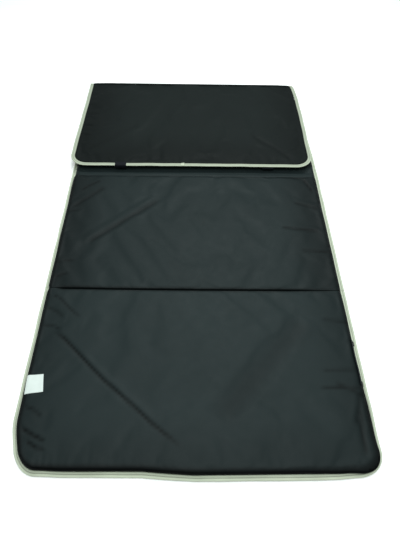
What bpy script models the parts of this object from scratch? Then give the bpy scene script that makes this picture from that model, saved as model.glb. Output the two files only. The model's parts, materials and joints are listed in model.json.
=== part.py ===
"""Folding futon mattress: four thin foam panels in one quilted cover, with a bound edge.

Panels 1, 2 and 3 lie flat in a row along +Y. Panel 4 is folded back on top of panel 3.
Every object is modelled where it lies at rest. Moving ones hang from an empty on their fold line.
"""

import math

import bmesh
import bpy
from mathutils import Matrix, Vector

# Driving dimensions, in metres
WIDTH = 0.800            # over the binding
THICKNESS = 0.020        # one panel, covers included
FOAM_LENGTH = 0.440      # one foam slab, along Y
BINDING_WIDTH = 0.012
BINDING_THICKNESS = 0.003
BINDING_HEIGHT = 0.0024  # underside of the binding above the floor
WALL_RUN = 0.010         # how far the side wall slopes out, from the foam to the binding
CORNER_RADIUS = 0.055    # outer corners, at the binding's edge
FOLD_GAP = 0.008         # between foam slabs at folds 1 and 3
WEB_WIDTH = 0.048        # slack fabric between foam slabs at fold 2
SPINE_BULGE = 0.014      # fabric past the foam at fold 3
COVER = 0.0008           # cover fabric
CLEAR = 0.0004           # between pieces that touch
FOLD_ROOM = 0.0006       # slack that folds 1 and 2 have for each closed layer, so that the label fits
FOAM_INSET = BINDING_WIDTH + WALL_RUN
POCKET_WALL = 0.0015     # from a slab's fold end to the outside of its pocket
SEAM_HEIGHT = 0.0044     # where the upper and the lower cover meet

STRAP_WIDTH = 0.036
STRAP_THICKNESS = 0.0012
STRAP_DROP = 0.009
STRAP_CENTRES = {"left": -0.241, "right": 0.233}
HANDLE_START = 0.202     # from the mattress's near end
HANDLE_LENGTH = 0.118
LABEL_START = 0.178
LABEL_LENGTH = 0.043
LABEL_REACH = 0.045      # from the seam inwards
LABEL_THICKNESS = 0.0004
TAPE_JOIN_X = -0.028     # where the two ends of the binding tape meet

CORNER_STEPS = 10

# Places along Y that follow from them, with the origin under the middle of the folded mattress
FOLDED_LENGTH = FOAM_INSET + 3 * FOAM_LENGTH + FOLD_GAP + WEB_WIDTH + SPINE_BULGE
NEAR_END = -FOLDED_LENGTH / 2
FOAM_1 = NEAR_END + FOAM_INSET
FOLD_1 = FOAM_1 + FOAM_LENGTH + FOLD_GAP / 2
FOAM_2 = FOLD_1 + FOLD_GAP / 2
FOLD_2 = FOAM_2 + FOAM_LENGTH + WEB_WIDTH / 2
FOAM_3 = FOLD_2 + WEB_WIDTH / 2
FOLD_3 = FOAM_3 + FOAM_LENGTH + FOLD_GAP / 2
FOAM_4 = FOLD_3 + FOLD_GAP / 2
FAR_END = FOAM_4 + FOAM_LENGTH + FOAM_INSET
HALF = WIDTH / 2

# Fold lines: 1 and 3 run along the panels' upper faces, 2 along the top of two panels
FOLD_POINTS = {
    "fold_1": Vector((0, FOLD_1, THICKNESS + FOLD_ROOM)),
    "fold_2": Vector((0, FOLD_2, 2 * (THICKNESS + FOLD_ROOM))),
    "fold_3": Vector((0, FOLD_3, THICKNESS)),
}

# The side wall's outer face, from the seam up: inset from the mattress's outline, and height
WALL_PROFILE = [
    (BINDING_WIDTH, SEAM_HEIGHT + 0.0004),
    (BINDING_WIDTH + 0.3 * WALL_RUN, 0.70 * THICKNESS),
    (BINDING_WIDTH + 0.8 * WALL_RUN, 0.94 * THICKNESS),
    (BINDING_WIDTH + 1.4 * WALL_RUN, THICKNESS),
]
FLOOR_PROFILE = [
    (BINDING_WIDTH, SEAM_HEIGHT - 0.0004),
    (BINDING_WIDTH + 0.8 * WALL_RUN, 0.0006),
    (BINDING_WIDTH + 1.2 * WALL_RUN, 0.0),
]


def clear_scene():
    for item in list(bpy.data.objects):
        bpy.data.objects.remove(item)


def material(name, colour, roughness):
    made = bpy.data.materials.new(name)
    made.use_nodes = True
    shader = made.node_tree.nodes["Principled BSDF"]
    shader.inputs["Base Color"].default_value = (*colour, 1)
    shader.inputs["Roughness"].default_value = roughness
    shader.inputs["Metallic"].default_value = 0
    return made


def empty(name, place, parent=None):
    made = bpy.data.objects.new(name, None)
    bpy.context.scene.collection.objects.link(made)
    made.parent = parent
    made.location = place - (parent.matrix_world.translation if parent else Vector())
    bpy.context.view_layer.update()
    return made


def finish(mesh, name, look, hinge):
    """Makes one closed object of the mesh, with its origin on the hinge that it hangs from."""
    bmesh.ops.recalc_face_normals(mesh, faces=mesh.faces)
    origin = hinge.matrix_world.translation if hinge else Vector()
    mesh.transform(Matrix.Translation(-origin))
    data = bpy.data.meshes.new(name)
    mesh.to_mesh(data)
    mesh.free()
    data.materials.append(look)
    data.shade_smooth()
    data.set_sharp_from_angle(angle=math.radians(35))
    made = bpy.data.objects.new(name, data)
    bpy.context.scene.collection.objects.link(made)
    made.parent = hinge
    return made


def add_rings(mesh, rings, closed):
    """Joins rings of points face to face and caps the first and the last."""
    rows = [[mesh.verts.new(point) for point in ring] for ring in rings]
    for low, high in zip(rows, rows[1:]):
        count = len(low)
        for i in range(count if closed else count - 1):
            j = (i + 1) % count
            mesh.faces.new((low[i], low[j], high[j], high[i]))
    mesh.faces.new(rows[0])
    mesh.faces.new(rows[-1])


def corner(x, y, start):
    """The stations round an outer corner: a point on the outline and its outward direction."""
    stations = []
    for step in range(CORNER_STEPS + 1):
        angle = math.radians(start + 90 * step / CORNER_STEPS)
        out = Vector((math.cos(angle), math.sin(angle)))
        stations.append((Vector((x, y)) + CORNER_RADIUS * out, out, Vector((0, 0))))
    return stations


def side(x_sign, y, end_sign=0):
    """One station on a straight side, at a fold end if end_sign says which way the fold lies."""
    return [(Vector((x_sign * HALF, y)), Vector((x_sign, 0)), Vector((0, end_sign)))]


def bound_end(y, sign):
    """The two corners of a bound end at y, anticlockwise."""
    inner_x = HALF - CORNER_RADIUS
    inner_y = y - sign * CORNER_RADIUS
    if sign < 0:
        return corner(-inner_x, inner_y, 180) + corner(inner_x, inner_y, 270)
    return corner(inner_x, inner_y, 0) + corner(-inner_x, inner_y, 90)


def outline(foam_start, near_bound, far_bound):
    """All stations round a panel, anticlockwise from its near left corner."""
    near_fold = foam_start - POCKET_WALL
    far_fold = foam_start + FOAM_LENGTH + POCKET_WALL
    if near_bound:
        near = bound_end(foam_start - FOAM_INSET, -1)
    else:
        near = side(-1, near_fold, -1) + side(1, near_fold, -1)
    if far_bound:
        far = bound_end(foam_start + FOAM_LENGTH + FOAM_INSET, 1)
    else:
        far = side(1, far_fold, 1) + side(-1, far_fold, 1)
    return near + far


def ring(stations, inset, height, fold_inset=0.0):
    """The outline moved inwards by inset, with its fold ends moved in by fold_inset."""
    points = []
    for point, out, fold_out in stations:
        moved = point - inset * out - fold_inset * fold_out
        points.append(Vector((moved.x, moved.y, height)))
    return points


def folded_over():
    """Turns panel 4 from flat, past fold 3, to its rest place on top of panel 3."""
    to_axis = Matrix.Translation(FOLD_POINTS["fold_3"])
    return to_axis @ Matrix.Rotation(math.pi, 4, "X") @ to_axis.inverted()


def foam_core(stations, name, look, hinge, turn):
    low = COVER + CLEAR
    high = THICKNESS - COVER - CLEAR
    inset = FOAM_INSET + 0.002
    wall = POCKET_WALL
    rings = [
        ring(stations, inset, low, wall),
        ring(stations, inset, 0.75 * THICKNESS, wall),
        ring(stations, inset + 0.003, high, wall),
    ]
    mesh = bmesh.new()
    add_rings(mesh, rings, closed=True)
    mesh.transform(turn)
    return finish(mesh, name, look, hinge)


def cover(stations, profile, inward, name, look, hinge, turn):
    """One skin of a panel, as a thin tray: outer face, rim, then inner face."""
    outer = [ring(stations, inset, height) for inset, height in reversed(profile)]
    inner = []
    for step, (inset, height) in enumerate(profile):
        lift = inward * COVER if step else 0.0
        inner.append(ring(stations, inset + COVER, height + lift, COVER))
    mesh = bmesh.new()
    add_rings(mesh, outer + inner, closed=True)
    mesh.transform(turn)
    return finish(mesh, name, look, hinge)


def binding(stations, name, look, hinge, turn=Matrix()):
    """A length of folded edge tape, swept along the outline."""
    low, thick = BINDING_HEIGHT, BINDING_THICKNESS
    outer, inner = 0.0, BINDING_WIDTH - CLEAR
    round_off = 0.0008
    section = [
        (outer, low + round_off),
        (outer, low + thick - round_off),
        (outer + round_off, low + thick),
        (inner - round_off, low + thick),
        (inner, low + thick - round_off),
        (inner, low + round_off),
        (inner - round_off, low),
        (outer + round_off, low),
    ]
    slices = []
    for station in stations:
        slices.append([ring([station], inset, height)[0] for inset, height in section])
    mesh = bmesh.new()
    add_rings(mesh, slices, closed=True)
    mesh.transform(turn)
    return finish(mesh, name, look, hinge)


def block(low, high, name, look, hinge=None):
    mesh = bmesh.new()
    bmesh.ops.create_cube(mesh, size=1.0)
    size = Vector(high) - Vector(low)
    mesh.transform(Matrix.Diagonal((*size, 1)))
    mesh.transform(Matrix.Translation((Vector(low) + Vector(high)) / 2))
    return finish(mesh, name, look, hinge)


def bent_strip(path, thickness, start, end, name, look, hinge):
    """A strip of the given thickness over a path of (x, z) points, as wide along Y as start to end.

    The strip's thickness lies to the left of the path.
    """
    points = [Vector(point) for point in path]
    outer = []
    for i, point in enumerate(points):
        along = (points[min(i + 1, len(points) - 1)] - points[max(i - 1, 0)]).normalized()
        outer.append(point + thickness * Vector((-along.y, along.x)))
    loop = points + outer[::-1]
    slices = [[Vector((x, y, z)) for x, z in loop] for y in (start, end)]
    mesh = bmesh.new()
    add_rings(mesh, slices, closed=True)
    return finish(mesh, name, look, hinge)


def make_panels(looks, hinges):
    flat = Matrix()
    over = folded_over()
    panels = [
        (1, FOAM_1, True, False, hinges["fold_1"], flat),
        (2, FOAM_2, False, False, None, flat),
        (3, FOAM_3, False, False, hinges["fold_2"], flat),
        (4, FOAM_4, False, True, hinges["fold_3"], over),
    ]
    for number, start, near_bound, far_bound, hinge, turn in panels:
        stations = outline(start, near_bound, far_bound)
        foam_core(stations, f"foam_core_{number}", looks["foam"], hinge, turn)
        cover(stations, WALL_PROFILE, -1, f"upper_cover_{number}", looks["cover"], hinge, turn)
        cover(stations, FLOOR_PROFILE, 1, f"lower_cover_{number}", looks["cover"], hinge, turn)


def make_bindings(looks, hinges):
    tape = looks["tape"]
    gap = CLEAR
    near_loop = (
        side(-1, FOLD_1 - gap)
        + bound_end(NEAR_END, -1)
        + side(1, FOLD_1 - gap)
    )
    binding(near_loop, "binding_1", tape, hinges["fold_1"])
    for name, sign in (("left", -1), ("right", 1)):
        run_2 = side(sign, FOLD_1 + gap) + side(sign, FOLD_2 - gap)
        run_3 = side(sign, FOLD_2 + gap) + side(sign, FOLD_3 - gap)
        binding(run_2, f"binding_2_{name}", tape, None)
        binding(run_3, f"binding_3_{name}", tape, hinges["fold_2"])
    corners = bound_end(FAR_END, 1)
    join = [(Vector((TAPE_JOIN_X + side_gap, FAR_END)), Vector((0, 1)), Vector((0, 0)))
            for side_gap in (gap, -gap)]
    half_count = len(corners) // 2
    right = side(1, FOLD_3 + gap) + corners[:half_count] + [join[0]]
    left = [join[1]] + corners[half_count:] + side(-1, FOLD_3 + gap)
    binding(right, "binding_4_right", tape, hinges["fold_3"], folded_over())
    binding(left, "binding_4_left", tape, hinges["fold_3"], folded_over())


def make_folds(looks, hinges):
    """The strips of cover fabric between the pockets, which bend when the mattress folds."""
    fabric = looks["cover"]
    reach = HALF - FOAM_INSET
    strip_1 = FOLD_GAP / 2 - POCKET_WALL - CLEAR
    block((-reach, FOLD_1 - strip_1, 0.0004), (reach, FOLD_1 + strip_1, 0.0016),
          "fold_strip_1", fabric)
    strip_2 = WEB_WIDTH / 2 - POCKET_WALL - CLEAR
    block((-reach, FOLD_2 - strip_2, 0.0004), (reach, FOLD_2 + strip_2, 0.0060),
          "fold_web_2", fabric)
    make_spine(fabric, hinges["fold_2"], reach)


def make_spine(fabric, hinge, reach):
    """The fabric that wraps the folded edge from panel 3 up to panel 4, half an ellipse."""
    steps = 12
    base = FOAM_3 + FOAM_LENGTH + POCKET_WALL + CLEAR
    bulge = FOLDED_LENGTH / 2 - base
    skins = []
    for inset in (0.0, COVER):
        skin = []
        for step in range(steps + 1):
            angle = math.pi * (step / steps - 0.5)
            y = base + (bulge - inset) * math.cos(angle)
            z = THICKNESS + (THICKNESS - CLEAR - inset) * math.sin(angle)
            skin.append((y, z))
        skins.append(skin)
    loop = skins[0] + skins[1][::-1]
    slices = [[Vector((x, y, z)) for y, z in loop] for x in (-reach, reach)]
    mesh = bmesh.new()
    add_rings(mesh, slices, closed=True)
    finish(mesh, "fold_spine_3", fabric, hinge)


def make_straps(looks, hinges):
    """Webbing straps sewn in at panel 4's bound end, hanging over its edge."""
    edge = FOLD_3 - (FAR_END - FOLD_3)
    top = 2 * THICKNESS - BINDING_HEIGHT
    back = edge - CLEAR
    front = back - STRAP_THICKNESS
    for name, middle in STRAP_CENTRES.items():
        line = Vector((middle, back - STRAP_THICKNESS / 2, top))
        hinge = empty(f"strap_{name}_line", line, hinges["fold_3"])
        low = (middle - STRAP_WIDTH / 2, front, top - STRAP_DROP)
        high = (middle + STRAP_WIDTH / 2, back, top)
        block(low, high, f"strap_{name}", looks["webbing"], hinge)


def beside_wall(sign, lift, points):
    """The side wall's profile from the foot up, held off the cover by lift."""
    path = []
    for inset, height in points:
        path.append((sign * (HALF - inset + 0.8 * lift), height + 0.6 * lift))
    return path


def make_handle(looks, hinges):
    """The webbing carry handle, lying flat against panel 1's right side wall."""
    foot = [(BINDING_WIDTH + 0.0010, 0.0078)]
    path = beside_wall(1, 2 * CLEAR, foot + WALL_PROFILE[1:3])[::-1]
    start = NEAR_END + HANDLE_START
    line = Vector((path[-1][0], start + HANDLE_LENGTH / 2, path[-1][1]))
    hinge = empty("handle_line", line, hinges["fold_1"])
    bent_strip(path, STRAP_THICKNESS, start, start + HANDLE_LENGTH,
               "carry_handle", looks["webbing"], hinge)


def make_label(looks, hinges):
    """The care label, sewn in at the left seam and lying on panel 1."""
    foot = [(BINDING_WIDTH + 0.0004, 0.0068)]
    path = beside_wall(-1, 2 * CLEAR, foot + WALL_PROFILE[1:])
    path.append((-HALF + BINDING_WIDTH + LABEL_REACH, path[-1][1]))
    start = NEAR_END + LABEL_START
    line = Vector((path[0][0], start + LABEL_LENGTH / 2, path[0][1]))
    hinge = empty("label_line", line, hinges["fold_1"])
    bent_strip(path, LABEL_THICKNESS, start, start + LABEL_LENGTH,
               "care_label", looks["label"], hinge)


def main():
    clear_scene()
    looks = {
        "foam": material("foam", (0.82, 0.79, 0.68), 0.95),
        "cover": material("cover_fabric", (0.040, 0.046, 0.050), 0.55),
        "tape": material("binding_tape", (0.66, 0.68, 0.56), 0.80),
        "webbing": material("webbing", (0.010, 0.011, 0.014), 0.75),
        "label": material("label_cloth", (0.85, 0.86, 0.85), 0.70),
    }
    hinges = {"fold_1": empty("fold_1_line", FOLD_POINTS["fold_1"])}
    hinges["fold_2"] = empty("fold_2_line", FOLD_POINTS["fold_2"])
    hinges["fold_3"] = empty("fold_3_line", FOLD_POINTS["fold_3"], hinges["fold_2"])
    make_panels(looks, hinges)
    make_bindings(looks, hinges)
    make_folds(looks, hinges)
    make_straps(looks, hinges)
    make_handle(looks, hinges)
    make_label(looks, hinges)


main()
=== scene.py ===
"""The looks of the folding futon mattress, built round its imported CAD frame.

Each panel's covers become one soft closed pocket over a rounded foam slab. The cloth at the folds, the edge
tape, the straps, the handle and the label are pieces of their own, which ride on the CAD bodies or bend
between them. Panel 4 is made flat and then turned over onto panel 3, as the mattress lies.
"""

import json
import math

import bmesh
import bpy
import numpy as np
from mathutils import Matrix, Vector
from mathutils.bvhtree import BVHTree

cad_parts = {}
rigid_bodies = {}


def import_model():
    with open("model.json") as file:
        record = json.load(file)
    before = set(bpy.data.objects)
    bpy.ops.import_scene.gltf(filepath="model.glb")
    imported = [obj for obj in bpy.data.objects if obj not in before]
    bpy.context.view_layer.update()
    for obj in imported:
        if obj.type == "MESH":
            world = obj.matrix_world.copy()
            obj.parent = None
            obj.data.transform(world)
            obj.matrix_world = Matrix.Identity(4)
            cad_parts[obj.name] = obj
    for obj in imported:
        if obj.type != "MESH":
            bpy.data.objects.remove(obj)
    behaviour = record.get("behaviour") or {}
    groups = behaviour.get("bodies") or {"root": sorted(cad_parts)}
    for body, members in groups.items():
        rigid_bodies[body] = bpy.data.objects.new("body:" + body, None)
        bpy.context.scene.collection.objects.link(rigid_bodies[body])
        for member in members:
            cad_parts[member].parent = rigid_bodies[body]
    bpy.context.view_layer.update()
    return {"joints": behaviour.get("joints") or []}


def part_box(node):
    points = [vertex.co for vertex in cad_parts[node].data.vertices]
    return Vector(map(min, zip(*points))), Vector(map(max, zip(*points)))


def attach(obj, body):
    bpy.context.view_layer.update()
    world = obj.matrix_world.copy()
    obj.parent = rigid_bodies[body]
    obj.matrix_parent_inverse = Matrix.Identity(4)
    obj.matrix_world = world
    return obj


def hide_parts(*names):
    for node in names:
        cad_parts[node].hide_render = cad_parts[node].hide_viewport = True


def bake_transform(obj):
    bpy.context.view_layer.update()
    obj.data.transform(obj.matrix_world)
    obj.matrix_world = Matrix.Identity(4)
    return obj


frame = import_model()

# Places and sizes from the frame, in metres
JOINTS = {joint["name"]: joint for joint in frame["joints"]}
FOLD_1, FOLD_2, FOLD_3 = (JOINTS[f"fold_{number}"]["pos_m"][1] for number in (1, 2, 3))
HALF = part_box("binding_1")[1].x
NEAR_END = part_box("binding_1")[0].y
TAPE_LOW, TAPE_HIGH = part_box("binding_1")[0].z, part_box("binding_1")[1].z
SEAM_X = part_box("lower_cover_1")[1].x
TAPE_WIDTH = HALF - SEAM_X
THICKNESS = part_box("upper_cover_1")[1].z
FAR_END = 2 * FOLD_3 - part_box("binding_4_left")[0].y      # of panel 4 while it lies flat
WEB_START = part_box("upper_cover_2")[1].y
WEB_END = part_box("upper_cover_3")[0].y
SPINE_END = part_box("fold_spine_3")[1].y

# The scene's own sizes
CORNER_RADIUS = 0.055      # of the tape's outer edge
SEAM_RADIUS = CORNER_RADIUS - TAPE_WIDTH
SEAM_HEIGHT = 0.0044
WALL_RUN = 0.013           # from the seam to the flat of the upper face
FOOT_RUN = 0.011           # from the seam to the flat of the lower face
FOLD_NOSE = 0.0035         # rounding of a pocket's upper edge at a fold
SLIT = 0.0003              # from a fold line to a pocket's end
WALL_CLOTH = 0.0042        # how far in from the seam the cloth stays in the wall's shade, painted by the side wall's darker cloth
CLOTH = 0.0008
FOAM_GAP = 0.0030          # from a CAD slab's sides to its visible one's
FOAM_SINK = 0.0038         # and from its faces
FOAM_ROUNDING = 0.0045
UNDER_CLOTH = 0.0010       # the foam's least distance under its cover
ABOVE = 0.06               # clear of the whole mattress, where rays start
LABEL_CLOTH = 0.00035
LABEL_LIFT = 0.0007
FLAP_NARROWER = 0.006      # panel 4 is this much narrower on each side at its free edge
FLAP_SHIFT = -0.013        # and lies this far to the side there
EXTRA_CLOTH = 0.006        # how much larger the cover is cut than its slab, as a share
SETTLE_FRAMES = 16
SETTLE_CAP = 0.0016        # how far the cloth may lift off its slab or press into it
PRESSED_DOWN = 0.0010      # how far a panel's face lies under its CAD face
BUMP_ROOM = 0.0007         # how much of a bump is left above that
FULL_LINE = 2.4            # millimetres: a crease this deep shows its painted shade line in full
BROAD_CREASE = 20          # millimetres: one this wide has only a soft painted shade line
SOFT_SIDE = 0.0015         # how far the cloth may slide sideways as it settles
NEAR_WANDER = ((-0.36, -0.28, -0.11, 0.0, 0.20, 0.30, 0.36),
               (0.006, 0.004, 0.003, -0.005, -0.003, -0.001, 0.004))
FOLD_WANDER = ((-0.40, -0.36, -0.22, 0.0, 0.40), (0.004, 0.004, 0.0015, 0.0, 0.0))
EDGE_STEPS = (0, 0.0006, 0.0014, 0.0026, 0.0042, 0.0064, 0.0094, 0.0134, 0.0190, 0.0260)


# ---------------------------------------------------------------- small tools

def smooth(values):
    clipped = np.clip(values, 0, 1)
    return clipped * clipped * (3 - 2 * clipped)


def ripple(x, y, length, seed):
    """Soft irregular waves of about that length, mostly from -1 to 1, the same on every run."""
    random = np.random.RandomState(seed)
    waves = 7
    total = 0
    for _ in range(waves):
        angle = random.uniform(0, math.tau)
        size = length * random.uniform(0.6, 1.7)
        phase = random.uniform(0, math.tau)
        total = total + np.sin(math.tau * (x * math.cos(angle) + y * math.sin(angle)) / size + phase)
    return total / math.sqrt(waves) / 1.5


def to_line(x, y, points):
    """Distance to a line of points, the side it is on, and how far along it the nearest place is."""
    points = np.array(points, float)
    lengths = np.linalg.norm(np.diff(points, axis=0), axis=1)
    starts = np.concatenate([[0], np.cumsum(lengths)])
    best = np.full(np.shape(x), 1e9)
    side = np.zeros(np.shape(x))
    along = np.zeros(np.shape(x))
    for i, length in enumerate(lengths):
        dx, dy = (points[i + 1] - points[i]) / length
        px, py = x - points[i][0], y - points[i][1]
        run = np.clip(px * dx + py * dy, 0, length)
        distance = np.hypot(px - run * dx, py - run * dy)
        nearer = distance < best
        best = np.where(nearer, distance, best)
        side = np.where(nearer, dx * py - dy * px, side)
        along = np.where(nearer, (starts[i] + run) / starts[-1], along)
    return best, side, along


def crease(x, y, points, width, depth, ridge):
    """A pressed line: a valley with a soft ridge on its left side, fading at both ends, and how strongly the
    painted shade in its valley shows.
    """
    distance, side, along = to_line(x, y, points)
    fade = smooth(along / 0.10) * smooth((1 - along) / 0.14)
    valley = np.exp(-(distance / width) ** 2)
    beside = np.exp(-(((side - 1.7 * width) / (1.2 * width)) ** 2)) * (distance < 4 * width)
    return fade * depth * (ridge * beside - valley), fade * valley


def grid_faces(index, flip=False):
    """The quads of a grid of point numbers, facing the other way round if flip."""
    a, b, c, d = index[:-1, :-1], index[1:, :-1], index[1:, 1:], index[:-1, 1:]
    return np.stack([a, d, c, b] if flip else [a, b, c, d], -1).reshape(-1, 4)


def new_object(name, data):
    made = bpy.data.objects.new(name, data)
    bpy.context.scene.collection.objects.link(made)
    return made


def mesh_object(name, verts, faces, materials, flat=False):
    mesh = bpy.data.meshes.new(name)
    mesh.from_pydata([tuple(v) for v in verts], [], [tuple(f) for f in faces])
    for look in materials:
        mesh.materials.append(look)
    if not flat:
        mesh.shade_smooth()
    return new_object(name, mesh)


def apply_modifiers(piece):
    bpy.context.view_layer.update()
    evaluated = piece.evaluated_get(bpy.context.evaluated_depsgraph_get())
    mesh = bpy.data.meshes.new_from_object(evaluated)
    piece.modifiers.clear()
    piece.data = mesh
    return piece


def subdivide(piece):
    modifier = piece.modifiers.new("Subdivision", "SUBSURF")
    modifier.levels = modifier.render_levels = 1
    return apply_modifiers(piece)


def add_tone(piece, values):
    """How light each point of the cloth is, which its material multiplies its colour by; it carries the
    painted shade.
    """
    attribute = piece.data.attributes.new("tone", "FLOAT", "POINT")
    attribute.data.foreach_set("value", np.asarray(values, np.float32))


def turn_over(points):
    """Points of panel 4 as it lies flat, moved to where it lies folded, with its free edge's shift."""
    points = np.array(points, float)
    y = 2 * FOLD_3 - points[:, 1]
    z = 2 * THICKNESS - points[:, 2]
    return shift_flap(np.column_stack([points[:, 0], y, z]))


def shift_flap(points):
    """Moves panel 4's points sideways by its free edge's shift."""
    away = smooth((FOLD_3 - points[:, 1]) / (FAR_END - FOLD_3))
    x = points[:, 0] * (1 - away * FLAP_NARROWER / HALF) + away * FLAP_SHIFT
    return np.column_stack([x, points[:, 1], points[:, 2]])


def as_it_lies(points, over=False):
    """Moves points at rest the little way that the cloth lies off its straight lines.

    over means that they are panel 4's as it lies flat, and are turned over first.
    """
    points = turn_over(points) if over else np.array(points, float)
    x, y = points[:, 0].copy(), points[:, 1].copy()
    # The near left corner is drawn in, and the near end wanders
    drawn = smooth((NEAR_END + 0.126 - y) / 0.11) * (1 - smooth((x + HALF) / 0.14))
    wander = np.interp(x, NEAR_WANDER[0], NEAR_WANDER[1]) * (1 - smooth((y - NEAR_END) / 0.12))
    # The folded edge's right corner is drawn in towards the middle, and slightly rounded
    loose = 0.027 * np.clip((y - 0.23) / (FOLD_3 - 0.23), 0, 1.1) ** 1.6
    loose = loose + 0.007 * np.clip((y - FOLD_3 + 0.022) / 0.030, 0, 1.1) ** 2
    loose = loose * smooth((x - 0.15) / (HALF - 0.15))
    # Fold 1's line bends a little towards its left end
    bend = np.interp(x, FOLD_WANDER[0], FOLD_WANDER[1]) * np.exp(-((y - FOLD_1) / 0.05) ** 2)
    return np.column_stack([x + 0.021 * drawn - loose, y + wander + bend, points[:, 2]])


# ---------------------------------------------------------------- materials

class Nodes:
    """Builds one material's nodes from the right, with the shader made."""

    def __init__(self, name, colour, roughness):
        self.material = bpy.data.materials.new(name)
        self.material.use_nodes = True
        self.tree = self.material.node_tree
        self.shader = self.tree.nodes["Principled BSDF"]
        self.shader.inputs["Base Color"].default_value = (*colour, 1)
        self.shader.inputs["Roughness"].default_value = roughness

    def add(self, kind, **inputs):
        node = self.tree.nodes.new(kind)
        for name, value in inputs.items():
            self.put(node, name.replace("_", " "), value)
        return node

    def put(self, node, name, value):
        socket = node.inputs[name] if not name.isdigit() else node.inputs[int(name)]
        if isinstance(value, bpy.types.NodeSocket):
            self.tree.links.new(value, socket)
        else:
            socket.default_value = value

    def math(self, operation, first, second):
        node = self.tree.nodes.new("ShaderNodeMath")
        node.operation = operation
        self.put(node, "0", first)
        self.put(node, "1", second)
        return node.outputs[0]

    def times(self, first, *others):
        """The product of several numbers."""
        for other in others:
            first = self.math("MULTIPLY", first, other)
        return first

    def place(self):
        return self.add("ShaderNodeTexCoord").outputs["Object"]

    def noise(self, scale, detail=2.0, rough=0.5):
        node = self.add("ShaderNodeTexNoise", Scale=scale, Detail=detail, Roughness=rough)
        self.put(node, "Vector", self.place())
        return node.outputs["Fac"]

    def wave(self, scale, axis, distortion):
        node = self.add("ShaderNodeTexWave", Scale=scale, Distortion=distortion)
        node.bands_direction = axis
        node.wave_profile = "SIN"
        self.put(node, "Vector", self.place())
        return node.outputs["Fac"]

    def spread(self, value, low, high):
        """Maps 0..1 to low..high."""
        node = self.add("ShaderNodeMapRange")
        self.put(node, "Value", value)
        self.put(node, "To Min", low)
        self.put(node, "To Max", high)
        return node.outputs[0]

    def shade(self, colour, factor):
        """The colour multiplied by a number from nodes, into Base Color."""
        node = self.tree.nodes.new("ShaderNodeVectorMath")
        node.operation = "SCALE"
        node.inputs[0].default_value = colour
        self.put(node, "Scale", factor)
        self.tree.links.new(node.outputs[0], self.shader.inputs["Base Color"])

    def bump(self, height, strength, distance, normal=None):
        node = self.add("ShaderNodeBump", Strength=strength, Distance=distance, Height=height)
        if normal:
            self.put(node, "Normal", normal)
        return node.outputs["Normal"]

    def tone(self):
        """The piece's tone, its painted shade, which add_tone wrote."""
        node = self.add("ShaderNodeAttribute")
        node.attribute_name = "tone"
        return node.outputs["Fac"]

    def rough(self, scale, detail, low, high):
        self.put(self.shader, "Roughness", self.spread(self.noise(scale, detail), low, high))

    def normal(self, normal):
        self.put(self.shader, "Normal", normal)

    def sheen(self, weight, roughness, tint):
        self.shader.inputs["Sheen Weight"].default_value = weight
        self.shader.inputs["Sheen Roughness"].default_value = roughness
        self.shader.inputs["Sheen Tint"].default_value = (*tint, 1)


def cover_cloth(name, colour, gloss):
    """Satin-faced charcoal cloth: a fine weave, faint slubs, and a tone of painted shade that darkens it in
    seams and creases.
    """
    m = Nodes(name, colour, 0.5)
    weave = m.times(m.math("ADD", m.wave(210, "X", 0.6), m.wave(190, "Y", 0.6)), 0.5)
    slub, cloudy = m.noise(900, 1.0, 0.4), m.noise(6.0, 3.0, 0.55)
    m.shade(colour, m.times(m.spread(weave, 0.90, 1.10), m.spread(cloudy, 0.88, 1.12),
                            m.spread(slub, 0.92, 1.08), m.tone()))
    m.rough(40, 2.0, 0.46, 0.60)
    m.shader.inputs["Specular IOR Level"].default_value = gloss
    m.sheen(0.02, 0.45, (0.75, 0.85, 0.9))
    normal = m.bump(m.noise(70, 3.0, 0.6), 0.10, 0.002)
    m.normal(m.bump(weave, 0.35, 0.0002, normal))
    return m.material


def edge_tape():
    """Pale grosgrain tape: fine cross ribs, slightly soiled and shaded along its stitched groove."""
    colour = (0.50, 0.53, 0.41)
    m = Nodes("edge_tape", colour, 0.78)
    ribs = m.times(m.math("ADD", m.wave(260, "X", 1.0), m.wave(260, "Y", 1.0)), 0.5)
    soiling = m.spread(m.noise(35, 3.0), 0.86, 1.10)
    m.shade(colour, m.times(m.spread(ribs, 0.90, 1.06), soiling, m.tone()))
    m.rough(120, 1.0, 0.70, 0.86)
    m.sheen(0.12, 0.5, (1, 1, 0.95))
    m.normal(m.bump(ribs, 0.4, 0.0003))
    return m.material


def webbing():
    """Black woven webbing: a twill of short ribs."""
    colour = (0.0045, 0.0050, 0.0080)
    m = Nodes("webbing", colour, 0.8)
    m.shader.inputs["Specular IOR Level"].default_value = 0.12
    ribs = m.times(m.wave(150, "X", 0.5), m.wave(230, "DIAGONAL", 0.5))
    m.shade(colour, m.spread(ribs, 0.7, 1.7))
    m.rough(90, 1.0, 0.62, 0.78)
    m.sheen(0.02, 0.5, (0.7, 0.75, 0.85))
    m.normal(m.bump(ribs, 0.8, 0.0005))
    return m.material


def label_cloth():
    """Thin white nylon label cloth, faintly ribbed."""
    colour = (0.66, 0.70, 0.67)
    m = Nodes("label_cloth", colour, 0.55)
    ribs = m.wave(420, "Y", 0.3)
    m.shade(colour, m.times(m.spread(ribs, 0.95, 1.02), m.spread(m.noise(55), 0.93, 1.04)))
    m.rough(150, 1.0, 0.5, 0.62)
    m.normal(m.bump(ribs, 0.3, 0.0001))
    return m.material


def thread(name, colour):
    m = Nodes(name, colour, 0.6)
    twist = m.wave(900, "DIAGONAL", 0.2)
    m.shade(colour, m.spread(twist, 0.8, 1.1))
    m.rough(300, 1.0, 0.5, 0.7)
    m.normal(m.bump(twist, 0.4, 0.0001))
    return m.material


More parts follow.
